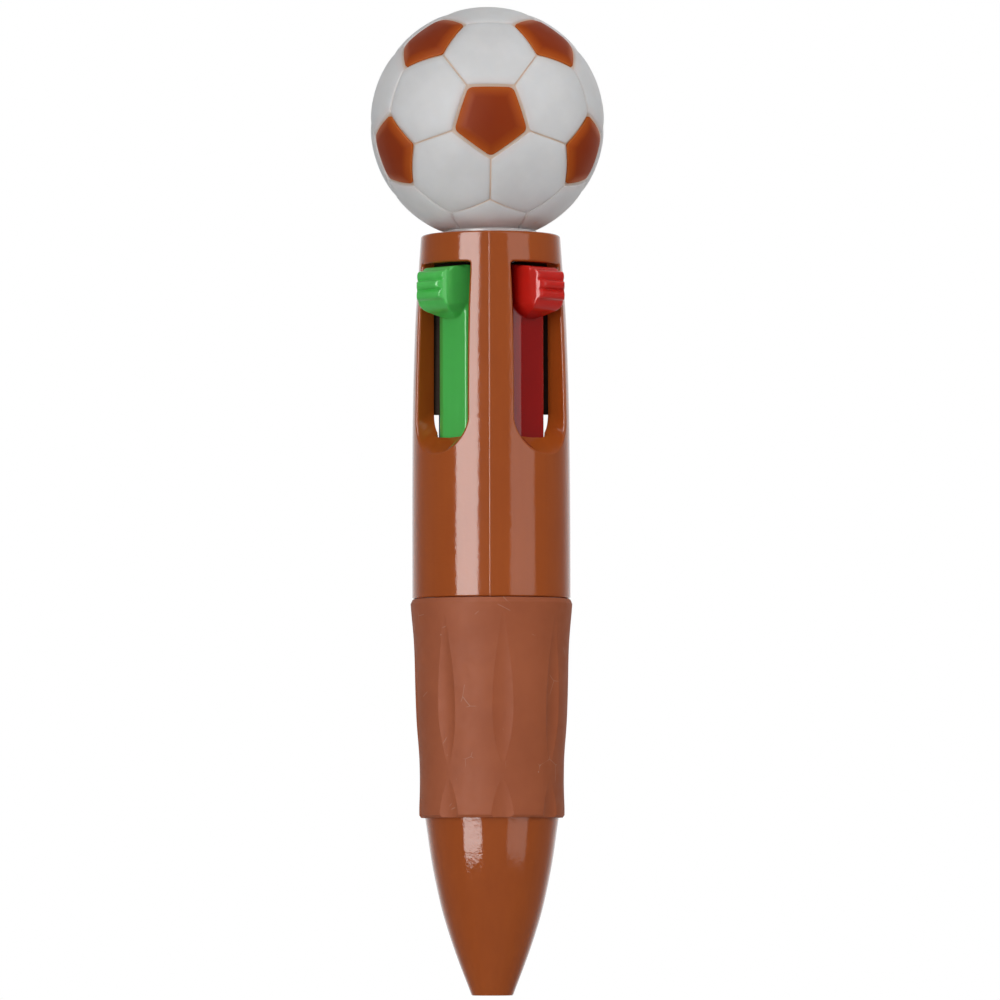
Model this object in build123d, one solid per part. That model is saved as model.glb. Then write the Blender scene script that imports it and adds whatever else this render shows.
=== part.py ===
from build123d import *
import math
import os

# Four-colour click pen with a football topper.  Millimetres, +Z up along the pen's axis,
# origin at the centre of the nose's flat end.  The sliders lie on +X (red), +Y (black),
# -X (blue) and -Y (green).

# ------------------------------------------------------------------ driving dimensions
NOSE_END_R = 2.97          # flat end of the nose
NOSE_HOLE_R = 1.75         # hole that the points come out of
SHOULDER_Z = 25.9          # top of the glossy nose, where the grip starts
GRIP_Z0, GRIP_Z1 = 25.92, 57.94
BARREL_Z0 = 58.0           # bottom shoulder of the upper barrel
BARREL_Z1 = 111.3          # rim of the upper barrel
BARREL_BORE_R = 8.45
SPIGOT_Z0 = 49.0           # lower end of the threaded spigot
SPIGOT_R, SPIGOT_BORE_R = 8.35, 7.5
SLOT_W0, SLOT_W1 = 10.3, 9.7   # width of a slider slot at its lower and upper end
SLOT_TOP_Z = 106.85
SLOT_BOTTOM_IN_Z = 81.3    # slot's lower end at the bore
SLOT_BOTTOM_OUT_Z = 78.9   # slot's lower end at the outer surface
STEM_W = 6.16              # slider stem
STEM_IN, STEM_OUT = 4.15, 8.1
STEM_Z0, STEM_Z1 = 78.0, 106.5
KEYWAY_W, KEYWAY_OUT = 6.5, 8.36
BUTTON_W = 5.8
TRAVEL = 14.0              # stroke of a slider
POINT_Z = 11.8             # writing points at rest; 2.2 mm outside when a slider is down
POINT_OFFSET = 0.85        # a point's distance from the axis
REFILL_SLOPE = 0.078       # how far a refill leans outwards, mm per mm
REFILL_R = 1.175
PLATE_Z0, PLATE_Z1 = 50.0, 51.8
SPRING_R, SPRING_WIRE_R, SPRING_TURNS = 1.92, 0.13, 12
CORE_Z0, CORE_Z1 = 85.0, 109.4
CAP_R, CAP_Z0 = 8.4, 109.4
BALL_R, BALL_CORE_R, BALL_Z = 17.2, 15.7, 127.8
BALL_FLAT_Z = 112.0
BALL_SHIFT = -0.31          # the ball sits a little off the axis, in X and in Y
FLANGE_R = 6.8

COLOURS = {"green": 270, "red": 0, "blue": 180, "black": 90}   # slider direction, degrees

os.makedirs("parts", exist_ok=True)


def save(shape, name):
    solids = list(shape.solids())
    keep = solids[0] if len(solids) == 1 else Compound(children=solids)
    keep.label = name
    export_step(keep, "parts/" + name + ".step")


def turned(edges):
    """A solid of revolution about Z from edges in the XZ plane."""
    return revolve(make_face(Curve() + edges), axis=Axis.Z, revolution_arc=360)


def p(r, z):
    return (r, 0, z)


def chain(*points):
    """Straight edges through the (r, z) points."""
    return [Line(p(*a), p(*b)) for a, b in zip(points, points[1:])]


def lathe(*points):
    """A solid of revolution from a closed polygon of (r, z) points."""
    return turned(chain(*points, points[0]))


# ------------------------------------------------------------------ upper barrel
barrel_curve = Spline(
    p(11.594, 68.0), p(11.55, 77.7), p(11.45, 86.5), p(11.26, 93.5),
    p(10.96, 100.6), p(10.55, 106.5), p(10.24, 110.9),
    tangents=[(0, 0, 1), (-0.075, 0, 1)])
upper_barrel = turned(
    chain((11.45, BARREL_Z0), (11.594, BARREL_Z0 + 0.15), (11.594, 68.0))
    + [barrel_curve,
       ThreePointArc(p(10.24, 110.9), p(10.11, 111.19), p(9.82, BARREL_Z1))]
    + chain((9.82, BARREL_Z1), (BARREL_BORE_R, BARREL_Z1), (BARREL_BORE_R, 61.0),
            (SPIGOT_BORE_R, 58.5), (SPIGOT_BORE_R, PLATE_Z0), (6.6, PLATE_Z0),
            (6.6, SPIGOT_Z0), (8.05, SPIGOT_Z0), (SPIGOT_R, SPIGOT_Z0 + 0.3),
            (SPIGOT_R, BARREL_Z0), (11.45, BARREL_Z0)))


def slot_section(rho, bottom, rb):
    """Outline of a slot on a plane at distance rho from the axis, facing +X; rb rounds its lower end."""
    plane = Plane(origin=(rho, 0, 0), x_dir=(0, 1, 0), z_dir=(1, 0, 0))
    h, ht, top, rt = SLOT_W0 / 2, SLOT_W1 / 2, SLOT_TOP_Z, 0.45
    k = math.sqrt(0.5)
    edges = [
        Line((-h + rb, bottom), (h - rb, bottom)),
        ThreePointArc((h - rb, bottom), (h - rb + rb * k, bottom + rb - rb * k), (h, bottom + rb)),
        Line((h, bottom + rb), (ht, top - rt)),
        ThreePointArc((ht, top - rt), (ht - rt + rt * k, top - rt + rt * k), (ht - rt, top)),
        Line((ht - rt, top), (-ht + rt, top)),
        ThreePointArc((-ht + rt, top), (-ht + rt - rt * k, top - rt + rt * k), (-ht, top - rt)),
        Line((-ht, top - rt), (-h, bottom + rb)),
        ThreePointArc((-h, bottom + rb), (-h + rb - rb * k, bottom + rb - rb * k), (-h + rb, bottom)),
    ]
    return plane * make_face(Curve() + edges)


slope = (SLOT_BOTTOM_OUT_Z - SLOT_BOTTOM_IN_Z) / (11.5 - BARREL_BORE_R)
slot_in = SLOT_BOTTOM_IN_Z + slope * (6.0 - BARREL_BORE_R)
slot_out = SLOT_BOTTOM_IN_Z + slope * (13.5 - BARREL_BORE_R)
slot_tool = loft([slot_section(6.0, slot_in, 3.0).faces()[0], slot_section(13.5, slot_out, 4.7).faces()[0]])
keyway = Pos((KEYWAY_OUT + 6.5) / 2, 0, 72.5) * Box(KEYWAY_OUT - 6.5, KEYWAY_W, 23.0)
for angle in COLOURS.values():
    upper_barrel -= Rot(0, 0, angle) * slot_tool
    upper_barrel -= Rot(0, 0, angle) * keyway
lip = []
for e in upper_barrel.edges():
    c = e.center()
    a = math.degrees(math.atan2(c.Y, c.X)) % 90
    off = min(a, 90 - a)                     # angle from the nearest slot's middle
    r = math.hypot(c.X, c.Y)
    if r > 9.3 and 77.5 < c.Z < 107.0 and (off < 32) and e.length < 40:
        lip.append(e)
try:
    upper_barrel = fillet(lip, 0.3)
    print("slot lips rounded:", len(lip))
except Exception as err:
    print("slot lips left sharp:", len(lip), err)
save(upper_barrel, "upper_barrel")

# ------------------------------------------------------------------ top cap and topper plug
top_cap = lathe((3.1, CAP_Z0), (CAP_R, CAP_Z0), (CAP_R, BARREL_Z1 - 0.15), (CAP_R - 0.15, BARREL_Z1),
                (3.1, BARREL_Z1))
save(top_cap, "top_cap")
topper_plug = lathe((0, 107.2), (2.6, 107.2), (3.3, 108.3), (3.3, 108.9), (3.0, 109.3),
                    (3.0, BARREL_Z1), (FLANGE_R - 0.15, BARREL_Z1), (FLANGE_R, BARREL_Z1 + 0.15),
                    (FLANGE_R, BALL_FLAT_Z - 0.15), (FLANGE_R - 0.15, BALL_FLAT_Z),
                    (3.5, BALL_FLAT_Z), (3.5, 121.0), (3.0, 122.0), (0, 122.0))
save(topper_plug, "topper_plug")

# ------------------------------------------------------------------ football topper
FRONT_AZ, FRONT_EL = -45.0 + 1.9, -2.5     # direction of the front pentagon


def unit(v):
    n = math.sqrt(sum(c * c for c in v))
    return tuple(c / n for c in v)


def cross(a, b):
    return (a[1] * b[2] - a[2] * b[1], a[2] * b[0] - a[0] * b[2], a[0] * b[1] - a[1] * b[0])


az, el = math.radians(FRONT_AZ), math.radians(FRONT_EL)
front = (math.cos(el) * math.cos(az), math.cos(el) * math.sin(az), math.sin(el))
side = unit(cross((0, 0, 1), front))
up = cross(front, side)
ring = math.atan(2.0)                      # angle between neighbouring pentagons
pentagons = []                             # (direction, direction of one corner)
for sign in (1, -1):
    pole = tuple(sign * c for c in front)
    down = tuple(-sign * c for c in up)
    pentagons.append((pole, down))
    for k in range(5):
        a = k * math.radians(72)
        t = tuple(math.cos(a) * d + math.sin(a) * s for d, s in zip(down, side))
        n = tuple(math.cos(ring) * f + math.sin(ring) * c for f, c in zip(pole, t))
        corner = tuple(math.sin(ring) * f - math.cos(ring) * c for f, c in zip(pole, t))
        pentagons.append((unit(n), unit(corner)))
lowest = min(pentagons, key=lambda q: q[0][2])   # the lowest panel is white like the cover
pentagons.remove(lowest)


def pentagon_prism(direction, corner, half_angle):
    """A five-sided pyramid frustum from the ball's centre through one panel."""
    faces = []
    for d in (11.0, 19.5):
        plane = Plane(origin=tuple(d * c for c in direction), x_dir=corner, z_dir=direction)
        faces.append((plane * RegularPolygon(d * math.tan(half_angle), 5)).faces()[0])
    return loft(faces)


ball_core = Sphere(BALL_CORE_R)
ball_cover = Sphere(BALL_R) - Sphere(BALL_CORE_R + 0.05)
for direction, corner in pentagons:
    ball_core += pentagon_prism(direction, corner, math.radians(19.0)) & Sphere(BALL_R)
    ball_cover -= pentagon_prism(direction, corner, math.radians(19.5))
ball_core = Pos(BALL_SHIFT, BALL_SHIFT, BALL_Z) * ball_core
ball_cover = Pos(BALL_SHIFT, BALL_SHIFT, BALL_Z) * ball_cover
ball_core += Pos(0, 0, 114.0) * Cylinder(4.4, 4.0)
ball_core -= Pos(0, 0, BALL_FLAT_Z + 4.55) * Cylinder(3.52, 11.0)
ball_core -= Pos(0, 0, BALL_FLAT_Z - 5.0) * Box(40, 40, 10)
ball_cover -= Pos(0, 0, BALL_FLAT_Z - 5.0) * Box(40, 40, 10)
ball_cover -= Pos(0, 0, 113.0) * Cylinder(4.5, 6.0)
save(ball_core, "ball_core")
save(ball_cover, "ball_cover")

# ------------------------------------------------------------------ lower barrel
nose_curve = Spline(
    p(3.07, 0.12), p(3.79, 2.0), p(4.79, 4.6), p(5.74, 7.25), p(6.60, 9.9), p(7.35, 12.5),
    p(7.98, 15.2), p(8.52, 17.8), p(8.98, 20.4), p(9.37, 23.1), p(9.78, SHOULDER_Z))
lower_barrel = turned(
    chain((NOSE_HOLE_R, 0), (NOSE_END_R, 0))
    + [Line(p(NOSE_END_R, 0), p(3.07, 0.12)), nose_curve]
    + chain((9.78, SHOULDER_Z), (9.3, SHOULDER_Z), (9.3, 46.0), (9.95, 47.0),
            (9.95, 57.9), (8.42, 57.9), (8.42, 48.5), (7.4, 48.5), (7.4, 30.0), (7.2, 26.0),
            (6.4, 18.0), (4.6, 10.5), (2.9, 6.0), (1.9, 0.8), (NOSE_HOLE_R, 0)))
save(lower_barrel, "lower_barrel")

# ------------------------------------------------------------------ rubber grip
grip_curve = Spline(
    p(10.63, 26.3), p(10.63, 27.5), p(10.57, 29.3), p(10.56, 33.0), p(10.65, 35.4), p(10.93, 38.9),
    p(11.11, 42.5), p(11.21, 46.0), p(11.32, 50.4), p(11.48, 53.0), p(11.73, 55.7), p(11.85, 57.2))
grip_sleeve = turned(
    [grip_curve]
    + chain((11.85, 57.2), (11.58, 57.84), (11.3, GRIP_Z1), (10.0, GRIP_Z1), (10.0, 46.95), (9.35, 45.95),
            (9.35, GRIP_Z0), (10.35, GRIP_Z0), (10.63, 26.3)))
FLUTES, FLUTE_PHASE = 8, -45.0 + 8.5
for i in range(FLUTES):
    a = FLUTE_PHASE + i * 360 / FLUTES
    # long shallow flute, deepest in the middle: a round cutter swung about a far tangential axis,
    # leaning with the sleeve's own slope
    swing = 170.0
    cutter = Plane(origin=(11.17 - 0.42 + 4.0, 0, 43.8), x_dir=(1, 0, 0), z_dir=(0, 0, 1)) * Circle(4.0)
    pivot = Axis((11.17 - 0.42 + swing, 0, 43.8), (0, 1, 0))
    tool = revolve(cutter.rotate(pivot, -4.5), axis=pivot, revolution_arc=9.0)
    tool = tool.rotate(Axis((11.15, 0, 43.8), (0, 1, 0)), math.degrees(math.atan(0.047)))
    grip_sleeve -= Rot(0, 0, a) * tool
    # scallop that runs out through the lower edge
    lean = math.degrees(math.atan(0.075))
    scallop = Pos(14.55, 0, 26.0) * Rot(0, lean, 0) * Cylinder(4.4, 26.0)
    grip_sleeve -= Rot(0, 0, a) * scallop
save(grip_sleeve, "grip_sleeve")

# ------------------------------------------------------------------ guide core and spring plate
guide_core = Pos(0, 0, (CORE_Z0 + 107.9) / 2) * Box(6.0, 6.0, 107.9 - CORE_Z0)
for a in (45, 135):
    guide_core += Rot(0, 0, a) * (Pos(0, 0, (CORE_Z0 + 107.9) / 2) * Box(17.2, 1.1, 107.9 - CORE_Z0))
guide_core &= Pos(0, 0, 100.0) * Cylinder(8.43, 40.0)
guide_core += Pos(0, 0, (107.9 + CORE_Z1) / 2) * Cylinder(8.4, CORE_Z1 - 107.9)
guide_core -= Pos(0, 0, 110.0) * Cylinder(3.6, 7.0)
guide_core -= Pos(0, 0, 95.0) * Cylinder(1.6, 40.0)
save(guide_core, "guide_core")

mid_offset = POINT_OFFSET + REFILL_SLOPE * (52.0 - POINT_Z)          # refill at the plate, at rest
low_offset = mid_offset + REFILL_SLOPE * TRAVEL                      # and with its slider down
spring_foot = (mid_offset + low_offset) / 2
spring_head = POINT_OFFSET + REFILL_SLOPE * (STEM_Z0 - POINT_Z)
spring_plate = lathe((0, PLATE_Z0), (7.44, PLATE_Z0), (7.44, PLATE_Z1), (0, PLATE_Z1))
for angle in COLOURS.values():
    hole = Pos(spring_foot, 0, 51.0) * extrude(SlotCenterToCenter(low_offset - mid_offset + 0.24, 2.66), 2.0, both=True)
    spring_plate -= Rot(0, 0, angle) * hole
save(spring_plate, "spring_plate")

# ------------------------------------------------------------------ sliders and refills
# thumb ribs, each a rounded ridge between two grooves; (distance from the axis, height)
rib_arcs = [
    [(12.30, 101.26), (11.72, 100.30), (10.25, 99.50)],
    [(12.45, 102.74), (13.02, 102.05), (12.30, 101.26)],
    [(12.45, 102.74), (12.58, 102.76), (12.70, 102.84)],
    [(12.68, 104.04), (13.32, 103.44), (12.70, 102.84)],
    [(12.68, 104.04), (12.50, 104.08), (12.36, 104.16)],
    [(11.30, 105.48), (12.58, 104.98), (12.36, 104.16)],
    [(10.2, 106.22), (10.92, 105.98), (11.30, 105.48)],
]
BUTTON_Z0, BUTTON_Z1 = 98.75, 106.35


def slider(angle):
    side_edges = [ThreePointArc(*[(r, 0, z) for r, z in c]) for c in rib_arcs]
    side_edges += chain((10.2, 106.22), (9.2, BUTTON_Z1), (7.6, BUTTON_Z1), (7.6, BUTTON_Z0),
                        (8.3, BUTTON_Z0), (9.2, 99.1), (10.25, 99.50))
    button = extrude(make_face(Curve() + side_edges), 3.2, both=True)
    # seen from above: rounded outer corners, and flanks that spread a little towards the barrel
    h, r, out, k = BUTTON_W / 2, 1.9, 13.5, math.sqrt(0.5)
    plan = make_face(Curve() + [
        Line((7.4, -3.08), (out - r, -h)),
        ThreePointArc((out - r, -h), (out - r + r * k, -h + r - r * k), (out, -h + r)),
        Line((out, -h + r), (out, h - r)),
        ThreePointArc((out, h - r), (out - r + r * k, h - r + r * k), (out - r, h)),
        Line((out - r, h), (7.4, 3.08)),
        Line((7.4, 3.08), (7.4, -3.08)),
    ])
    button &= extrude(Pos(0, 0, 97.0) * plan, 12.0)
    # rounded lower corners, seen from the front
    h, rb, rt, z0, z1 = 3.08, 2.7, 0.5, BUTTON_Z0, BUTTON_Z1
    front_view = Plane(origin=(7.5, 0, 0), x_dir=(0, 1, 0), z_dir=(1, 0, 0)) * make_face(Curve() + [
        Line((-h + rb, z0), (h - rb, z0)),
        ThreePointArc((h - rb, z0), (h - rb + rb * k, z0 + rb - rb * k), (h, z0 + rb)),
        Line((h, z0 + rb), (h, z1 - rt)),
        ThreePointArc((h, z1 - rt), (h - rt + rt * k, z1 - rt + rt * k), (h - rt, z1)),
        Line((h - rt, z1), (-h + rt, z1)),
        ThreePointArc((-h + rt, z1), (-h + rt - rt * k, z1 - rt + rt * k), (-h, z1 - rt)),
        Line((-h, z1 - rt), (-h, z0 + rb)),
        ThreePointArc((-h, z0 + rb), (-h + rb - rb * k, z0 + rb - rb * k), (-h + rb, z0)),
    ])
    button &= extrude(front_view, 8.0)
    stem = Pos((STEM_IN + STEM_OUT) / 2, 0, (STEM_Z0 + STEM_Z1) / 2) * Box(
        STEM_OUT - STEM_IN, STEM_W, STEM_Z1 - STEM_Z0)
    # one outer edge of the stem is bevelled, the other has a small radius
    bevel = make_face(Curve() + [
        Line((STEM_OUT + 1, -4), (STEM_OUT + 1, -STEM_W / 2 + 1.25)),
        Line((STEM_OUT + 1, -STEM_W / 2 + 1.25), (STEM_OUT, -STEM_W / 2 + 1.25)),
        Line((STEM_OUT, -STEM_W / 2 + 1.25), (STEM_OUT - 0.55, -STEM_W / 2)),
        Line((STEM_OUT - 0.55, -STEM_W / 2), (STEM_OUT - 0.55, -4)),
        Line((STEM_OUT - 0.55, -4), (STEM_OUT + 1, -4)),
    ])
    stem -= extrude(Pos(0, 0, 70.0) * bevel, 32.0)
    outer = [e for e in stem.edges() if abs(e.center().X - STEM_OUT) < 0.01 and e.center().Y > 3.0
             and e.length > 20]
    stem = fillet(outer, 0.5)
    body = stem + button
    # latch lug on the inner face, which hooks under the guide core's lower edge
    body += Pos((3.2 + 4.6) / 2, 0, 98.25) * Box(1.4, 2.8, 1.2)
    # pin that plugs into the refill's tail, on the refill's own line
    pin = along_refill(Cylinder(0.76, 9.0), STEM_Z0 - 1.5)
    body += pin & (Pos(0, 0, STEM_Z0 - 5.0) * Box(40, 40, 12.0))
    return Rot(0, 0, angle) * body


def along_refill(shape, z):
    """Puts a shape made on the Z axis about z = 0 onto a refill's leaning line at height z."""
    return Pos(POINT_OFFSET + REFILL_SLOPE * (z - POINT_Z), 0, z) * Rot(
        0, math.degrees(math.atan(REFILL_SLOPE)), 0) * shape


lean_len = math.sqrt(1 + REFILL_SLOPE ** 2)
refill_len = (STEM_Z0 - POINT_Z) * lean_len            # 66 mm along the leaning line
TIP_LEN, TUBE_BORE_R, BALL_PT_R = 14.0, 0.8, 0.35

point_ball = Pos(0, 0, 0.35) * Sphere(BALL_PT_R)
tip = lathe((0.16, 0.55), (0.36, 0.36), (0.42, 0.9), (0.60, 2.2), (0.82, 5.0), (1.0, 8.0),
            (1.15, 10.7), (1.15, TIP_LEN), (0.79, TIP_LEN), (0.79, 17.0), (0.35, 17.0), (0.35, 1.6),
            (0.16, 1.2))
tip -= Pos(0, 0, 0.35) * Sphere(BALL_PT_R + 0.01)
tube = lathe((TUBE_BORE_R, TIP_LEN), (REFILL_R, TIP_LEN), (REFILL_R, refill_len - 0.12),
             (TUBE_BORE_R, refill_len - 0.12))
ink = lathe((0, 17.05), (TUBE_BORE_R - 0.02, 17.05), (TUBE_BORE_R - 0.02, 57.0), (0, 57.0))

spring_len = (STEM_Z0 - 0.14) - (PLATE_Z1 + 0.14)
spring_helix = Helix(pitch=spring_len / SPRING_TURNS, height=spring_len, radius=SPRING_R)
start = Plane(origin=spring_helix @ 0, z_dir=spring_helix % 0)
coil = sweep(start * Circle(SPRING_WIRE_R), path=spring_helix, is_frenet=True)
spring_lean = math.degrees(math.atan((spring_head - spring_foot) / spring_len))

for colour, angle in COLOURS.items():
    turn = Rot(0, 0, angle)
    save(slider(angle), "slider_" + colour)
    for shape, name in ((tip, "refill_tip_"), (point_ball, "writing_ball_"), (tube, "refill_tube_"),
                        (ink, "ink_")):
        save(turn * along_refill(shape, POINT_Z), name + colour)
    save(turn * Pos(spring_foot, 0, PLATE_Z1 + 0.14) * Rot(0, spring_lean, 0) * coil,
         "return_spring_" + colour)
print("refill length %.1f mm, spring head %.2f mm, foot %.2f mm" % (refill_len, spring_head, spring_foot))
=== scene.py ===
import math

import bmesh
import bpy
import numpy as np
from mathutils import Matrix, Vector


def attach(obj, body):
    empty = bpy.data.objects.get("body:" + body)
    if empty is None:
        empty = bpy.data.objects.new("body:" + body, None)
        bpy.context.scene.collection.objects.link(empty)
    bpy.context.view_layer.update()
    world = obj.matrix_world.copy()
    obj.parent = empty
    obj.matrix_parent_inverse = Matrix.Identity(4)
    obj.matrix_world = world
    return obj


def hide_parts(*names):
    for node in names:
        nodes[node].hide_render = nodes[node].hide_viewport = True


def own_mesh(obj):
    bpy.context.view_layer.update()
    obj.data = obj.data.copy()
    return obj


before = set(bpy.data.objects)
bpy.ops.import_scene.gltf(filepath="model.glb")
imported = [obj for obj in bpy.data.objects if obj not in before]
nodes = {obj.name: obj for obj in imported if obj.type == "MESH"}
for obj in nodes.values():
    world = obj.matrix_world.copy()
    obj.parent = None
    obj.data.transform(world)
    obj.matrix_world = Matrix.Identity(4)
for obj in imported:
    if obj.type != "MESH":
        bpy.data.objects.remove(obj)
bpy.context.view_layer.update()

MM = 0.001
COLOURS = ("green", "red", "blue", "black")
DIRECTION = {"green": (0, -1), "red": (1, 0), "blue": (-1, 0), "black": (0, 1)}
S = math.sqrt(0.5)
TO_CAM = Vector((S, -S, 0))        # from the pen towards the camera, level
RIGHT = Vector((S, S, 0))          # to the right in the main view


# =====================================================================  material helpers
class Tree:
    """Small helper round one material's node tree."""

    def __init__(self, name):
        self.mat = bpy.data.materials.new(name)
        self.mat.use_nodes = True
        self.nt = self.mat.node_tree
        self.nt.nodes.clear()
        self.out = self.nt.nodes.new("ShaderNodeOutputMaterial")
        self.bsdf = self.nt.nodes.new("ShaderNodeBsdfPrincipled")
        self.link(self.bsdf.outputs[0], self.out.inputs["Surface"])
        tc = self.nt.nodes.new("ShaderNodeTexCoord")
        self.obj = tc.outputs["Object"]

    def link(self, a, b):
        self.nt.links.new(a, b)

    def set(self, **kw):
        for k, v in kw.items():
            self.bsdf.inputs[k.replace("_", " ")].default_value = v

    def plug(self, name, out):
        self.link(out, self.bsdf.inputs[name])

    def put(self, socket, value):
        if isinstance(value, (int, float, tuple, list)):
            socket.default_value = value
        else:
            self.link(value, socket)

    def math(self, op, a, b=None, c=None, clamp=False):
        n = self.nt.nodes.new("ShaderNodeMath")
        n.operation = op
        n.use_clamp = clamp
        self.put(n.inputs[0], a)
        if b is not None:
            self.put(n.inputs[1], b)
        if c is not None:
            self.put(n.inputs[2], c)
        return n.outputs[0]

    def dot(self, vec, const):
        n = self.nt.nodes.new("ShaderNodeVectorMath")
        n.operation = "DOT_PRODUCT"
        self.put(n.inputs[0], vec)
        n.inputs[1].default_value = const
        return n.outputs["Value"]

    def scale(self, vec, const):
        n = self.nt.nodes.new("ShaderNodeVectorMath")
        n.operation = "MULTIPLY"
        self.put(n.inputs[0], vec)
        n.inputs[1].default_value = const
        return n.outputs[0]

    def noise(self, scale, detail=3.0, rough=0.5, vec=None, distortion=0.0):
        n = self.nt.nodes.new("ShaderNodeTexNoise")
        n.inputs["Scale"].default_value = scale
        n.inputs["Detail"].default_value = detail
        n.inputs["Roughness"].default_value = rough
        n.inputs["Distortion"].default_value = distortion
        self.link(vec or self.obj, n.inputs["Vector"])
        return n.outputs["Fac"]

    def voronoi(self, scale, vec=None, feature="F1", rand=1.0):
        n = self.nt.nodes.new("ShaderNodeTexVoronoi")
        n.feature = feature
        n.inputs["Scale"].default_value = scale
        n.inputs["Randomness"].default_value = rand
        self.link(vec or self.obj, n.inputs["Vector"])
        return n

    def ramp(self, fac, stops, interp="LINEAR"):
        n = self.nt.nodes.new("ShaderNodeValToRGB")
        n.color_ramp.interpolation = interp
        e = n.color_ramp.elements
        while len(e) < len(stops):
            e.new(0.5)
        for el, (pos, col) in zip(e, stops):
            el.position = pos
            el.color = (*col, 1.0) if len(col) == 3 else col
        self.link(fac, n.inputs[0])
        return n.outputs[0]

    def curve(self, value, lo, hi, to0=0.0, to1=1.0, smooth=True):
        n = self.nt.nodes.new("ShaderNodeMapRange")
        n.interpolation_type = "SMOOTHSTEP" if smooth else "LINEAR"
        self.put(n.inputs["Value"], value)
        n.inputs["From Min"].default_value = lo
        n.inputs["From Max"].default_value = hi
        n.inputs["To Min"].default_value = to0
        n.inputs["To Max"].default_value = to1
        return n.outputs["Result"]

    def mix(self, fac, a, b, mode="MIX"):
        n = self.nt.nodes.new("ShaderNodeMix")
        n.data_type = "RGBA"
        n.blend_type = mode
        self.put(n.inputs["Factor"], fac)
        for sock, v in ((n.inputs["A"], a), (n.inputs["B"], b)):
            pass
        ins = [i for i in n.inputs if i.type == "RGBA"]
        for sock, v in zip(ins, (a, b)):
            if isinstance(v, (tuple, list)):
                sock.default_value = (*v, 1.0) if len(v) == 3 else v
            else:
                self.link(v, sock)
        return [o for o in n.outputs if o.type == "RGBA"][0]

    def attr(self, name):
        n = self.nt.nodes.new("ShaderNodeAttribute")
        n.attribute_name = name
        return n.outputs["Fac"]

    def bump(self, height, distance, strength=1.0, normal=None):
        n = self.nt.nodes.new("ShaderNodeBump")
        n.inputs["Strength"].default_value = strength
        n.inputs["Distance"].default_value = distance
        self.link(height, n.inputs["Height"])
        if normal is not None:
            self.link(normal, n.inputs["Normal"])
        return n.outputs[0]

    def sep(self):
        n = self.nt.nodes.new("ShaderNodeSeparateXYZ")
        self.link(self.obj, n.inputs[0])
        return n.outputs


def plastic(name, colour, dark, rough=0.12, wave=0.0, line=False, sss=0.0, sss_colour=None, speck=0.0,
            ior=1.5, stem_shade=None):
    """Moulded glossy plastic: slow colour drift, faint flow streaks, hairline scuffs, slight waviness."""
    t = Tree(name)
    drift = t.noise(90.0, 2.0)
    streak = t.noise(1.0, 3.0, vec=t.scale(t.obj, (900.0, 900.0, 60.0)))
    tone = t.math("ADD", t.math("MULTIPLY", drift, 0.7), t.math("MULTIPLY", streak, 0.3))
    col = t.mix(t.curve(tone, 0.32, 0.68), dark, colour)
    normal = None
    # broad waviness of the moulding, so reflections have slightly uneven edges
    if wave:
        low = t.noise(1.0, 1.0, vec=t.scale(t.obj, (95.0, 95.0, 55.0)))
        normal = t.bump(low, wave, 1.0)
    fine = t.noise(4200.0, 2.0)
    normal = t.bump(fine, 0.0000010, 1.0, normal)
    if wave:
        # short ripples that make the edges of reflections a little ragged
        ragged = t.noise(1.0, 2.0, 0.6, vec=t.scale(t.obj, (1500.0, 1500.0, 1900.0)))
        normal = t.bump(ragged, 0.0000170, 1.0, normal)
    if line:
        # mould parting line, front and back, on the plane through the pen's axis: a real raised ridge, also painted
        # lighter as a painted highlight along it
        off = t.math("ABSOLUTE", t.math("SUBTRACT", t.dot(t.obj, tuple(RIGHT)), -0.00015))
        ridge_and_glint = t.curve(off, 0.00003, 0.00011, 1.0, 0.0)
        level = t.dot(t.obj, tuple(TO_CAM))
        outer = t.curve(t.math("ABSOLUTE", level), 0.0090, 0.0098, 0.0, 1.0)
        ridge_and_glint = t.math("MULTIPLY", ridge_and_glint, outer)
        # painted highlight: the colour is lightened along the ridge
        col = t.mix(t.math("MULTIPLY", ridge_and_glint, 0.22), col, tuple(min(1.0, c * 1.5 + 0.05) for c in colour))
        normal = t.bump(ridge_and_glint, 0.00003, 0.7, normal)
    if speck:
        v = t.voronoi(700.0)
        dots = t.curve(v.outputs["Distance"], 0.02, 0.05, 1.0, 0.0)
        pick = t.curve(t.noise(160.0, 0.0), 0.60, 0.64)
        dots = t.math("MULTIPLY", dots, pick)
        col = t.mix(t.math("MULTIPLY", dots, speck), col, tuple(c * 0.4 for c in colour))
    if stem_shade is not None:
        # painted shade: the stem, recessed inside its slot, is darkened towards the pen's axis in place of the
        # slot's shadow, by an amount given per colour
        flat = t.nt.nodes.new("ShaderNodeVectorMath")
        flat.operation = "LENGTH"
        t.link(t.scale(t.obj, (1.0, 1.0, 0.0)), flat.inputs[0])
        col = t.mix(t.curve(flat.outputs["Value"], 0.0081, 0.0106, stem_shade, 0.0), col,
                    tuple(c * c * 0.6 for c in colour))
    t.plug("Base Color", col)
    scuff = t.noise(1.0, 4.0, 0.65, vec=t.scale(t.obj, (500.0, 500.0, 2600.0)), distortion=0.6)
    t.plug("Roughness", t.curve(scuff, 0.35, 0.85, rough * 0.8, rough * 1.7))
    t.plug("Normal", normal)
    t.set(IOR=ior)
    if sss:
        t.set(Subsurface_Weight=sss, Subsurface_Radius=tuple(sss_colour or (1.0, 0.6, 0.4)),
              Subsurface_Scale=0.0012)
    return t.mat


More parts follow.
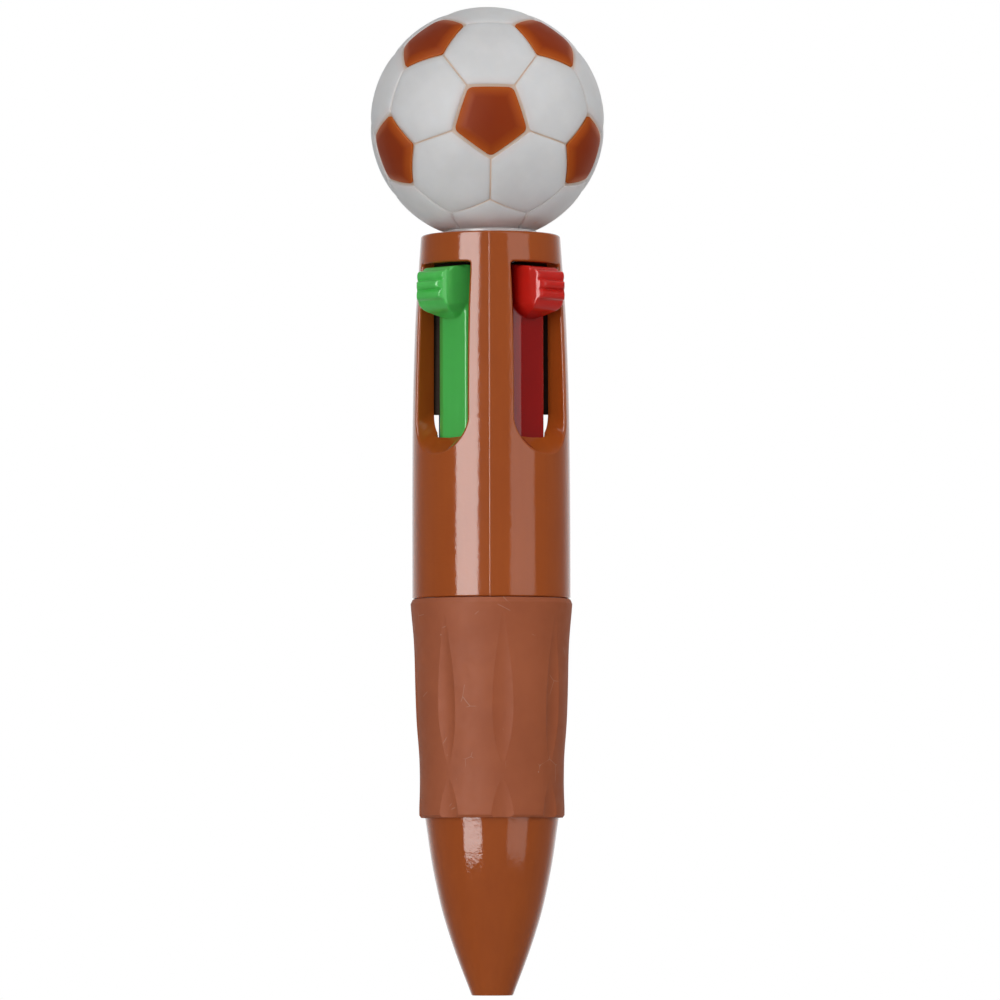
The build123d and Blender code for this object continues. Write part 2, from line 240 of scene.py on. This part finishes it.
def rubber_grip(name):
    t = Tree(name)
    drift = t.noise(120.0, 3.0, 0.6)
    base = t.mix(t.curve(drift, 0.3, 0.7), (0.375, 0.093, 0.0325), (0.415, 0.107, 0.038))
    # dust: tiny pale grains, sparse, and a few short hair scratches
    v = t.voronoi(520.0)
    grain = t.curve(v.outputs["Distance"], 0.035, 0.085, 1.0, 0.0)
    patch = t.curve(t.noise(210.0, 2.0), 0.56, 0.66)
    grain = t.math("MULTIPLY", grain, patch)
    v2 = t.voronoi(1.0, vec=t.scale(t.obj, (260.0, 260.0, 150.0)))
    v3 = t.nt.nodes.new("ShaderNodeTexVoronoi")
    v3.feature = "DISTANCE_TO_EDGE"
    v3.inputs["Scale"].default_value = 230.0
    t.link(t.obj, v3.inputs["Vector"])
    hair = t.curve(v3.outputs["Distance"], 0.004, 0.014, 1.0, 0.0)
    where = t.curve(t.noise(260.0, 1.0, 0.5), 0.63, 0.68)
    hair = t.math("MULTIPLY", hair, where)
    dust = t.math("MAXIMUM", grain, t.math("MULTIPLY", hair, 0.55))
    col = t.mix(t.math("MULTIPLY", dust, 0.5), base, (0.62, 0.42, 0.32))
    t.plug("Base Color", col)
    fine = t.noise(3600.0, 3.0, 0.6)
    mid = t.noise(700.0, 2.0)
    h = t.math("ADD", t.math("MULTIPLY", fine, 0.6), t.math("MULTIPLY", mid, 0.4))
    t.plug("Normal", t.bump(h, 0.000012, 0.8))
    t.plug("Roughness", t.curve(mid, 0.2, 0.8, 0.56, 0.68))
    t.set(IOR=1.33, Sheen_Weight=0.03, Sheen_Roughness=0.5, Sheen_Tint=(1.0, 0.85, 0.78, 1.0))
    return t.mat


def silicone_white(name):
    """White silicone skin of the football: grooves show a warm tan, and brown panels tint their surroundings."""
    t = Tree(name)
    dh, dp, rec, low = t.attr("d_seam"), t.attr("d_window"), t.attr("recess"), t.attr("depth")
    mott = t.noise(240.0, 3.0)
    base = t.mix(t.curve(mott, 0.3, 0.7), (0.755, 0.755, 0.76), (0.795, 0.795, 0.80))
    # pinkish bleed near the brown panels
    glow = t.curve(dp, 0.25, 1.7, 1.0, 0.0)
    base = t.mix(t.math("MULTIPLY", glow, 0.22), base, (0.80, 0.62, 0.58))
    seam_facing = t.attr("seam_facing")
    seam = t.math("MULTIPLY", t.curve(low, 0.24, 0.36, 0.0, 0.85), seam_facing)
    soft = t.curve(dh, 0.05, 0.45, 0.10, 0.0)
    rim = t.curve(dp, 0.06, 0.30, 0.60, 0.0)
    tan = t.math("MAXIMUM", seam, t.math("MAXIMUM", rim, soft))
    tan = t.math("MAXIMUM", tan, t.math("MULTIPLY", rec, 0.9))
    col = t.mix(tan, base, (0.76, 0.585, 0.455))
    # rare warm specks under the skin
    v = t.voronoi(190.0)
    dots = t.curve(v.outputs["Distance"], 0.03, 0.10, 1.0, 0.0)
    dots = t.math("MULTIPLY", dots, t.curve(t.noise(75.0, 0.0), 0.62, 0.66))
    col = t.mix(t.math("MULTIPLY", dots, 0.22), col, (0.62, 0.45, 0.33))
    t.plug("Base Color", col)
    fine = t.noise(2600.0, 2.0)
    t.plug("Normal", t.bump(fine, 0.000006, 0.6))
    t.plug("Roughness", t.curve(mott, 0.2, 0.8, 0.46, 0.58))
    t.set(IOR=1.38, Subsurface_Weight=0.55, Subsurface_Radius=(1.0, 0.9, 0.82), Subsurface_Scale=0.0035)
    return t.mat


def silicone_brown(name):
    """Brown panels: dark in the thick middle, orange where the bevel thins."""
    t = Tree(name)
    d = t.attr("d_edge")
    mott = t.noise(330.0, 3.0)
    dd = t.math("ADD", d, t.math("MULTIPLY", t.math("SUBTRACT", mott, 0.5), 0.35))
    col = t.ramp(t.curve(dd, 0.0, 4.4, 0.0, 1.0, smooth=False), [
        (0.0, (0.54, 0.140, 0.026)), (0.06, (0.47, 0.092, 0.012)), (0.22, (0.39, 0.064, 0.008)),
        (0.38, (0.305, 0.041, 0.006)), (1.0, (0.285, 0.036, 0.006))])
    t.plug("Base Color", col)
    fine = t.noise(2600.0, 2.0)
    t.plug("Normal", t.bump(fine, 0.000005, 0.6))
    t.plug("Roughness", t.curve(mott, 0.2, 0.8, 0.40, 0.52))
    t.set(IOR=1.30, Specular_IOR_Level=0.2, Subsurface_Weight=0.20, Subsurface_Radius=(1.0, 0.30, 0.08),
          Subsurface_Scale=0.0010)
    return t.mat


def metal(name, colour, rough, streak=(1.0, 1.0, 1.0)):
    t = Tree(name)
    n = t.noise(1.0, 3.0, vec=t.scale(t.obj, tuple(2500.0 * s for s in streak)))
    col = t.mix(t.curve(n, 0.3, 0.7), tuple(c * 0.86 for c in colour), colour)
    t.plug("Base Color", col)
    t.plug("Roughness", t.curve(n, 0.25, 0.75, rough * 0.7, rough * 1.4))
    t.plug("Normal", t.bump(n, 0.000003, 0.6))
    t.set(Metallic=1.0)
    return t.mat


def tube_plastic(name):
    t = Tree(name)
    n = t.noise(900.0, 3.0)
    t.plug("Base Color", t.mix(t.curve(n, 0.3, 0.7), (0.74, 0.75, 0.73), (0.86, 0.87, 0.86)))
    t.plug("Roughness", t.curve(n, 0.2, 0.8, 0.16, 0.30))
    t.plug("Normal", t.bump(n, 0.000004, 0.5))
    t.set(IOR=1.49, Alpha=0.45)
    return t.mat


BARREL = plastic("brown_gloss_plastic", (0.425, 0.090, 0.0140), (0.395, 0.081, 0.0125), rough=0.09,
                 wave=0.00006, line=True, speck=0.5, ior=1.5)
NOSE = plastic("brown_gloss_plastic_nose", (0.425, 0.090, 0.0140), (0.395, 0.081, 0.0125), rough=0.09,
               wave=0.00006, speck=0.5, ior=1.5)
CAP = plastic("brown_gloss_plastic_cap", (0.36, 0.076, 0.016), (0.33, 0.068, 0.014), rough=0.18)
CORE = plastic("dark_core_plastic", (0.024, 0.011, 0.006), (0.019, 0.009, 0.005), rough=0.55, ior=1.25)
PLATE = plastic("plate_plastic", (0.20, 0.19, 0.18), (0.16, 0.15, 0.145), rough=0.35)
PLUG = plastic("white_plug_plastic", (0.78, 0.775, 0.77), (0.72, 0.715, 0.71), rough=0.22)
GRIP = rubber_grip("brown_soft_rubber")
SKIN = silicone_white("white_silicone")
PANEL = silicone_brown("brown_silicone")
# stem_shade sets the painted shade on each slider's recessed stem, strongest on the red one
SLIDER = {
    "green": plastic("green_gloss_plastic", (0.105, 0.640, 0.125), (0.090, 0.590, 0.108), rough=0.15,
                     sss=0.3, sss_colour=(0.35, 1.0, 0.35), stem_shade=0.10),
    "red": plastic("red_gloss_plastic", (0.690, 0.0200, 0.0125), (0.640, 0.0180, 0.0115), rough=0.15,
                   sss=0.3, sss_colour=(1.0, 0.10, 0.08), stem_shade=0.90),
    "blue": plastic("blue_gloss_plastic", (0.020, 0.065, 0.46), (0.017, 0.055, 0.41), rough=0.15,
                    sss=0.25, sss_colour=(0.1, 0.25, 1.0), stem_shade=0.4),
    "black": plastic("black_gloss_plastic", (0.014, 0.0145, 0.016), (0.011, 0.0115, 0.013), rough=0.15,
                     stem_shade=0.3),
}
INK = {
    "green": plastic("green_ink", (0.012, 0.20, 0.05), (0.010, 0.16, 0.04), rough=0.3),
    "red": plastic("red_ink", (0.36, 0.012, 0.02), (0.30, 0.010, 0.016), rough=0.3),
    "blue": plastic("blue_ink", (0.012, 0.03, 0.26), (0.010, 0.024, 0.21), rough=0.3),
    "black": plastic("black_ink", (0.012, 0.012, 0.013), (0.010, 0.010, 0.011), rough=0.3),
}
WIRE = metal("spring_wire", (0.60, 0.60, 0.62), 0.22)
POINT = metal("nickel_silver", (0.78, 0.72, 0.60), 0.20, (1.0, 1.0, 3.0))
BALLPT = metal("carbide_ball", (0.55, 0.55, 0.57), 0.12)
TUBE = tube_plastic("natural_tube_plastic")


def paint(node, material):
    o = nodes[node]
    o.data.materials.clear()
    o.data.materials.append(material)
    for poly in o.data.polygons:
        poly.material_index = 0


paint("upper_barrel", BARREL)
paint("lower_barrel", NOSE)
paint("top_cap", CAP)
paint("guide_core", CORE)
paint("spring_plate", PLATE)
paint("topper_plug", PLUG)
paint("grip_sleeve", GRIP)
paint("ball_core", PANEL)
paint("ball_cover", SKIN)
for c in COLOURS:
    paint("slider_" + c, SLIDER[c])
    paint("refill_tube_" + c, TUBE)
    paint("ink_" + c, INK[c])
    paint("refill_tip_" + c, POINT)
    paint("writing_ball_" + c, BALLPT)
    paint("return_spring_" + c, WIRE)


for c in COLOURS:
    o = nodes["slider_" + c]
    m = o.modifiers.new("soft_mould", "REMESH")
    m.mode = "VOXEL"
    m.voxel_size = 0.00011
    m.adaptivity = 0.0
    m.use_smooth_shade = True
    m = o.modifiers.new("soft_edges", "SMOOTH")
    m.factor = 0.5
    m.iterations = 9

# =====================================================================  mesh helper
def mesh_object(name, verts, faces, material, smooth=True, attrs=None):
    me = bpy.data.meshes.new(name)
    me.from_pydata([tuple(v) for v in verts], [], [tuple(f) for f in faces])
    me.update()
    for key, values in (attrs or {}).items():
        a = me.attributes.new(key, "FLOAT", "POINT")
        a.data.foreach_set("value", np.asarray(values, np.float32))
    me.materials.append(material)
    if smooth:
        me.polygons.foreach_set("use_smooth", [True] * len(me.polygons))
    ob = bpy.data.objects.new(name, me)
    bpy.context.scene.collection.objects.link(ob)
    return ob


# =====================================================================  football
BALL_R, BALL_Z, FLAT_Z = 17.2, 127.8, 112.0
FRONT_AZ, FRONT_EL = math.radians(-45.0 + 1.9), math.radians(-2.5)


def unit(v):
    v = np.asarray(v, float)
    return v / np.linalg.norm(v)


front = np.array([math.cos(FRONT_EL) * math.cos(FRONT_AZ), math.cos(FRONT_EL) * math.sin(FRONT_AZ),
                  math.sin(FRONT_EL)])
side = unit(np.cross((0, 0, 1), front))
up = np.cross(front, side)
RING = math.atan(2.0)
pents = []
for sign in (1, -1):
    pole, down = sign * front, -sign * up
    pents.append(pole)
    for k in range(5):
        a = math.radians(72 * k)
        t_dir = math.cos(a) * down + math.sin(a) * side
        pents.append(unit(math.cos(RING) * pole + math.sin(RING) * t_dir))
pents = np.array(pents)
white_pent = int(np.argmin(pents[:, 2]))
EDGE = 1 / 2.47801866                         # edge of the solid, for a ball of radius 1
CUT = math.asin(0.85065081 * EDGE)            # from a pentagon's middle to its corners
near = [[j for j in range(12) if j != i and abs(math.acos(np.clip(pents[i] @ pents[j], -1, 1)) - RING) < 0.02]
        for i in range(12)]
hexes = [(i, j, k) for i in range(12) for j in near[i] if j > i for k in near[i] if k > j and k in near[j]]
assert len(hexes) == 20


def corner(i, j):
    """Corner of pentagon i on the way to pentagon j."""
    t_dir = unit(pents[j] - (pents[j] @ pents[i]) * pents[i])
    return unit(math.cos(CUT) * pents[i] + math.sin(CUT) * t_dir)


def outline(theta, n, apothem, rc):
    """Distance from the middle to a regular n-gon with rounded corners, at angle theta; corner 0 at theta 0."""
    half = math.pi / n
    phi = (theta + half - half) % (2 * half) - half      # angle from the middle of a side
    phi = np.where(phi < -half, phi + 2 * half, phi)
    a = np.abs(phi)
    r = apothem / np.cos(a)
    if rc > 0:
        dc = (apothem - rc) / math.cos(half)
        delta = half - a
        straight_end = np.arctan2(apothem * math.tan(half) - rc * math.tan(half), apothem)
        disc = np.maximum(rc ** 2 - (dc * np.sin(delta)) ** 2, 0)
        arc = dc * np.cos(delta) + np.sqrt(disc)
        r = np.where(a > straight_end, arc, r)
    return r


def patch(centre, corner0, n, rings, per_side):
    """Rings of vertices over one panel. rings: (inset mm, corner radius mm, height mm). Returns verts and faces,
    and the flat-plane distance from each side in mm."""
    u = unit(corner0 - (corner0 @ centre) * centre)
    v = np.cross(centre, u)
    ang = math.acos(np.clip(centre @ corner0, -1, 1))
    big = math.tan(ang) * math.cos(math.pi / n)
    stretch = 1.10
    per_mm = stretch / BALL_R
    count = n * per_side
    # angles crowd towards the corners a little
    base = (np.arange(per_side) / per_side)
    base = base - 0.55 * np.sin(2 * np.pi * base) / (2 * np.pi)
    theta = np.concatenate([(k + base) * 2 * math.pi / n for k in range(n)])
    pts, dist = [], []
    for inset, rc, h in rings:
        ap = big - inset * per_mm
        r = outline(theta, n, ap, rc * per_mm) if ap > 1e-4 else np.zeros(count)
        x, y = r * np.cos(theta), r * np.sin(theta)
        d = np.stack([(big - (x * math.cos((k + 0.5) * 2 * math.pi / n) + y * math.sin((k + 0.5) * 2 * math.pi / n)))
                      / per_mm for k in range(n)], 1)
        p3 = centre[None] + x[:, None] * u[None] + y[:, None] * v[None]
        p3 /= np.linalg.norm(p3, axis=1)[:, None]
        pts.append(p3 * (BALL_R + h))
        dist.append(d)
    m = len(rings)
    verts = np.concatenate(pts)
    dist = np.concatenate(dist)
    faces = []
    for a in range(m - 1):
        for b in range(count):
            c = (b + 1) % count
            faces.append((a * count + b, a * count + c, (a + 1) * count + c, (a + 1) * count + b))
    # middle
    last = rings[-1]
    verts = np.vstack([verts, centre[None] * (BALL_R + last[2])])
    dist = np.vstack([dist, np.full((1, n), big / per_mm)])
    mid = len(verts) - 1
    for b in range(count):
        faces.append(((m - 1) * count + b, (m - 1) * count + (b + 1) % count, mid))
    return verts, faces, dist


def pillow(d):
    return -0.19 * math.exp(-max(d - 0.2, 0) / 0.60) - 0.03 * math.exp(-d / 2.5)


def white_rings(seam_half):
    g = seam_half
    rings = [(0.0, 0.0, -0.42), (g * 0.6, 0.10, -0.42), (g, 0.40, -0.38), (g + 0.03, 0.45, -0.31),
             (g + 0.08, 0.50, -0.25)]
    for d in (0.26, 0.34, 0.44, 0.58, 0.78, 1.05, 1.4, 1.9, 2.5, 3.2, 4.0, 4.8, 5.5):
        rings.append((d, 0.55 + 0.15 * d, pillow(d)))
    return rings


PER = 40
BALL_SHIFT = -0.31
allv, allf, dseam, dwin, recess, depth = [], [], [], [], [], []
offset = 0
for (i, j, k) in hexes:
    c = unit(pents[i] + pents[j] + pents[k])
    cs = [corner(i, j), corner(j, i), corner(j, k), corner(k, j), corner(k, i), corner(i, k)]
    owners = [(i, j), (j,), (j, k), (k,), (k, i), (i,)]   # side m runs from corner m to m+1
    c0 = cs[0]
    u = unit(c0 - (c0 @ c) * c)
    if np.cross(c, u) @ cs[1] < 0:                         # keep the corners counter-clockwise
        cs = [cs[0]] + cs[:0:-1]
        owners = [(i,), (k, i), (k,), (j, k), (j,), (i, j)]
    verts, faces, dist = patch(c, cs[0], 6, white_rings(0.08), PER)
    is_window = np.array([len(o) == 1 and o[0] != white_pent for o in owners])
    dw = np.min(np.where(is_window[None], dist, 99.0), axis=1)
    ds = np.min(np.where(is_window[None], 99.0, dist), axis=1)
    # the skin stands back a little further round a window
    norm = np.linalg.norm(verts, axis=1)
    extra = np.clip((0.34 - dw) / 0.20, 0, 1) * 0.12
    verts *= ((norm - extra * (norm > BALL_R - 0.35)) / norm)[:, None]
    allv.append(verts); allf += [tuple(q + offset for q in f) for f in faces]
    dseam.append(ds); dwin.append(dw); recess.append(np.zeros(len(verts)))
    offset += len(verts)
for i in range(12):
    c0 = corner(i, near[i][0])
    if i == white_pent:
        verts, faces, dist = patch(pents[i], c0, 5, white_rings(0.08)[:-2], PER)
        dseam.append(dist.min(1)); dwin.append(np.full(len(verts), 99.0)); recess.append(np.zeros(len(verts)))
    else:
        verts, faces, dist = patch(pents[i], c0, 5, [(0.0, 0, -0.42), (0.12, 0.2, -0.45), (0.5, 0.5, -0.80),
                                                     (2.0, 0.5, -1.0), (4.0, 0.5, -1.0)], PER)
        dseam.append(np.full(len(verts), 99.0)); dwin.append(np.full(len(verts), 99.0))
        recess.append(np.ones(len(verts)))
    allv.append(verts); allf += [tuple(q + offset for q in f) for f in faces]
    offset += len(verts)
V = np.concatenate(allv)
depth = BALL_R - np.linalg.norm(V, axis=1)
# the seams' tan is strongest where the skin faces the front pentagon or its opposite, and fades towards the sides
facing = np.abs((V / np.linalg.norm(V, axis=1)[:, None]) @ front)
seam_facing = np.clip((facing - 0.48) / 0.30, 0, 1)
seam_facing = 0.12 + 0.88 * seam_facing * seam_facing * (3 - 2 * seam_facing)
V = V + np.array([BALL_SHIFT, BALL_SHIFT, BALL_Z])
V[:, 2] = np.maximum(V[:, 2], FLAT_Z)
cover = mesh_object("football_skin", V * MM, allf, SKIN,
                    attrs={"d_seam": np.concatenate(dseam), "d_window": np.concatenate(dwin),
                           "recess": np.concatenate(recess), "depth": depth, "seam_facing": seam_facing})
bm = bmesh.new()
bm.from_mesh(cover.data)
bmesh.ops.remove_doubles(bm, verts=bm.verts, dist=0.000004)
bmesh.ops.recalc_face_normals(bm, faces=bm.faces)
bm.to_mesh(cover.data)
bm.free()
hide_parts("ball_cover")
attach(cover, "pen_body")

brown_rings = [(0.24, 0.88, -1.10), (0.21, 0.92, -0.62), (0.21, 0.94, -0.44), (0.23, 0.97, -0.36),
               (0.30, 1.00, -0.305), (0.48, 1.02, -0.26), (0.65, 0.96, -0.205), (0.92, 0.86, -0.13),
               (1.15, 0.72, -0.075), (1.32, 0.60, -0.040), (1.46, 0.52, -0.020), (1.66, 0.48, -0.008),
               (2.0, 0.5, -0.003), (2.7, 0.6, 0.0), (3.5, 0.5, 0.0), (4.2, 0.3, 0.0)]
allv, allf, dedge = [], [], []
offset = 0
for i in range(12):
    if i == white_pent:
        continue
    verts, faces, dist = patch(pents[i], corner(i, near[i][0]), 5, brown_rings, PER)
    allv.append(verts); allf += [tuple(q + offset for q in f) for f in faces]
    dedge.append(dist.min(1) - 0.19)
    offset += len(verts)
V = np.concatenate(allv) + np.array([BALL_SHIFT, BALL_SHIFT, BALL_Z])
V[:, 2] = np.maximum(V[:, 2], FLAT_Z)
panels = mesh_object("football_panels", V * MM, allf, PANEL, attrs={"d_edge": np.concatenate(dedge)})
bm = bmesh.new()
bm.from_mesh(panels.data)
bmesh.ops.recalc_face_normals(bm, faces=bm.faces)
bm.to_mesh(panels.data)
bm.free()
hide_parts("ball_core")
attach(panels, "pen_body")

# =====================================================================  return springs
POINT_OFFSET, SLOPE, POINT_Z, PLATE_Z, TAIL_Z, TRAVEL = 0.85, 0.078, 11.8, 51.8, 78.0, 14.0
mid_offset = POINT_OFFSET + SLOPE * (52.0 - POINT_Z)
foot = mid_offset + SLOPE * TRAVEL / 2
head = POINT_OFFSET + SLOPE * (TAIL_Z - POINT_Z)
for c in COLOURS:
    ex, ey = DIRECTION[c]
    wire, mean, turns = 0.13, 1.92, 12.0
    z0, z1 = PLATE_Z + wire + 0.01, TAIL_Z - wire - 0.01
    steps = int(turns * 28)
    path = []
    for s in range(steps + 1):
        w = s / steps
        # closed ends: the first and last turn are wound flat
        tw = w * turns
        if tw < 1.0:
            rise = 0.02 * tw
        elif tw > turns - 1.0:
            rise = 1.0 - 0.02 * (turns - tw)
        else:
            rise = 0.02 + 0.96 * (tw - 1.0) / (turns - 2.0)
        a = 2 * math.pi * tw + 0.7
        z = z0 + (z1 - z0) * rise
        mid = foot + (head - foot) * (z - PLATE_Z) / (TAIL_Z - PLATE_Z)
        lx, ly = mid + mean * math.cos(a), mean * math.sin(a)
        path.append(Vector((ex * lx - ey * ly, ey * lx + ex * ly, z)) * MM)
    cu = bpy.data.curves.new("coil_" + c, "CURVE")
    cu.dimensions = "3D"
    cu.bevel_depth = wire * MM
    cu.bevel_resolution = 3
    cu.use_fill_caps = True
    sp = cu.splines.new("POLY")
    sp.points.add(len(path) - 1)
    for q, co in zip(sp.points, path):
        q.co = (*co, 1.0)
    tmp = bpy.data.objects.new("coil_tmp", cu)
    bpy.context.scene.collection.objects.link(tmp)
    bpy.context.view_layer.update()
    me = bpy.data.meshes.new_from_object(tmp.evaluated_get(bpy.context.evaluated_depsgraph_get()))
    bpy.data.objects.remove(tmp)
    coil = bpy.data.objects.new("spring_coil_" + c, me)
    me.materials.clear()
    me.materials.append(WIRE)
    me.polygons.foreach_set("use_smooth", [True] * len(me.polygons))
    bpy.context.scene.collection.objects.link(coil)
    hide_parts("return_spring_" + c)
    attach(coil, "pen_body")
    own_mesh(coil)

# =====================================================================  stage, light, camera
floor_me = bpy.data.meshes.new("floor")
bm = bmesh.new()
bmesh.ops.create_circle(bm, cap_ends=True, radius=1.6, segments=96)
bm.to_mesh(floor_me)
bm.free()
floor = bpy.data.objects.new("floor", floor_me)
floor.location = (0, 0, -0.05)
bpy.context.scene.collection.objects.link(floor)
t = Tree("pale_floor")
n = t.noise(6.0, 2.0)
t.plug("Base Color", t.mix(t.curve(n, 0.3, 0.7), (0.80, 0.80, 0.80), (0.84, 0.84, 0.84)))
t.set(Roughness=0.7)
floor_me.materials.append(t.mat)
floor.visible_glossy = False


def area(name, az_deg, elev_deg, dist, width, height, radiance, target_z=0.07, glossy=True, diffuse=True,
         colour=(1, 1, 1)):
    """A soft box at an azimuth from the camera's direction (positive to the right)."""
    a, e = math.radians(az_deg), math.radians(elev_deg)
    direction = (TO_CAM * math.cos(a) + RIGHT * math.sin(a)) * math.cos(e) + Vector((0, 0, math.sin(e)))
    data = bpy.data.lights.new(name, "AREA")
    data.shape = "RECTANGLE"
    data.size, data.size_y = width, height
    data.energy = radiance * math.pi * width * height
    data.color = colour
    ob = bpy.data.objects.new(name, data)
    target = Vector((0, 0, target_z))
    ob.location = target + direction * dist
    ob.rotation_mode = "QUATERNION"
    ob.rotation_quaternion = direction.to_track_quat("Z", "Y")
    ob.visible_camera = False
    ob.visible_glossy = glossy
    ob.visible_diffuse = diffuse
    bpy.context.scene.collection.objects.link(ob)
    return ob


for strip in (area("strip_left", -35.3, 0, 0.9, 0.545, 1.5, 7.9, diffuse=False),
              area("strip_right", 47.0, 0, 0.9, 0.62, 1.5, 1.38, diffuse=False)):
    strip.location.z += 0.42                      # the boxes end a little below the pen's own height
area("key_soft", -16, 8, 0.9, 0.5, 0.9, 2.85, glossy=False)
rim = area("ball_fill", 82, 20, 0.55, 0.16, 0.16, 0.95, target_z=0.130, glossy=False)
rim.data.spread = math.radians(50)
low = area("ball_under", 8, -40, 0.45, 0.16, 0.16, 3.6, target_z=0.128, glossy=False)
low.data.spread = math.radians(50)
area("top_soft", -20, 62, 0.9, 0.7, 0.7, 1.0, glossy=False)
area("under_soft", 10, -52, 0.9, 0.7, 0.7, 0.75, glossy=False)

world = bpy.data.worlds.new("studio")
bpy.context.scene.world = world
world.use_nodes = True
nt = world.node_tree
nt.nodes.clear()
out = nt.nodes.new("ShaderNodeOutputWorld")
bg = nt.nodes.new("ShaderNodeBackground")
lp = nt.nodes.new("ShaderNodeLightPath")
tc = nt.nodes.new("ShaderNodeTexCoord")
dp = nt.nodes.new("ShaderNodeVectorMath")
dp.operation = "DOT_PRODUCT"
dp.inputs[1].default_value = tuple(TO_CAM)
nt.links.new(tc.outputs["Generated"], dp.inputs[0])
# angle from the camera's side: 0 in front of the pen, 1 behind it
acos = nt.nodes.new("ShaderNodeMath")
acos.operation = "ARCCOSINE"
nt.links.new(dp.outputs["Value"], acos.inputs[0])
turn = nt.nodes.new("ShaderNodeMath")
turn.operation = "DIVIDE"
nt.links.new(acos.outputs[0], turn.inputs[0])
turn.inputs[1].default_value = math.pi


def world_ramp(stops):
    r = nt.nodes.new("ShaderNodeValToRGB")
    e = r.color_ramp.elements
    while len(e) < len(stops):
        e.new(0.5)
    for el, (deg, value) in zip(e, stops):
        el.position = deg / 180.0
        el.color = (value, value, value, 1.0)
    nt.links.new(turn.outputs[0], r.inputs[0])
    return r.outputs[0]


def pick(test, a, b):
    n = nt.nodes.new("ShaderNodeMix")
    n.data_type = "RGBA"
    nt.links.new(test, n.inputs["Factor"])
    ins = [i for i in n.inputs if i.type == "RGBA"]
    for sock, v in zip(ins, (a, b)):
        if isinstance(v, tuple):
            sock.default_value = v
        else:
            nt.links.new(v, sock)
    return [o for o in n.outputs if o.type == "RGBA"][0]


mirror = world_ramp([(0, 0.26), (25, 0.24), (70, 0.17), (105, 0.21), (120, 0.24), (131, 0.38), (146, 0.76),
                     (158, 1.0)])
ambient = world_ramp([(0, 0.13), (90, 0.13), (130, 0.28), (165, 0.80)])
light = pick(lp.outputs["Is Glossy Ray"], ambient, mirror)
light = pick(lp.outputs["Is Camera Ray"], light, (1, 1, 1, 1))
nt.links.new(light, bg.inputs["Color"])
bg.inputs["Strength"].default_value = 1.0
nt.links.new(bg.outputs[0], out.inputs[0])

scene = bpy.context.scene
scene.view_settings.view_transform = "Standard"
scene.view_settings.look = "None"

PX = 0.14676 * MM                                 # one pixel of the frame at the pen
DIST = 1.130
elev = math.radians(-2.86)
cam_data = bpy.data.cameras.new("camera")
cam = bpy.data.objects.new("camera", cam_data)
scene.collection.objects.link(cam)
aim = Vector((0, 0, (995.4 - 501.5) * PX)) + RIGHT * (500.0 - 491.2) * PX
back = TO_CAM * math.cos(elev) + Vector((0, 0, math.sin(elev)))
cam.location = aim + back * DIST
cam.rotation_mode = "QUATERNION"
cam.rotation_quaternion = (-back).to_track_quat("-Z", "Y") @ Matrix.Rotation(math.radians(-0.14), 4, "Z").to_quaternion()
cam_data.sensor_width = 36.0
cam_data.lens = 36.0 * DIST / (999.0 * PX)
cam_data.clip_start, cam_data.clip_end = 0.05, 20.0
scene.camera = cam
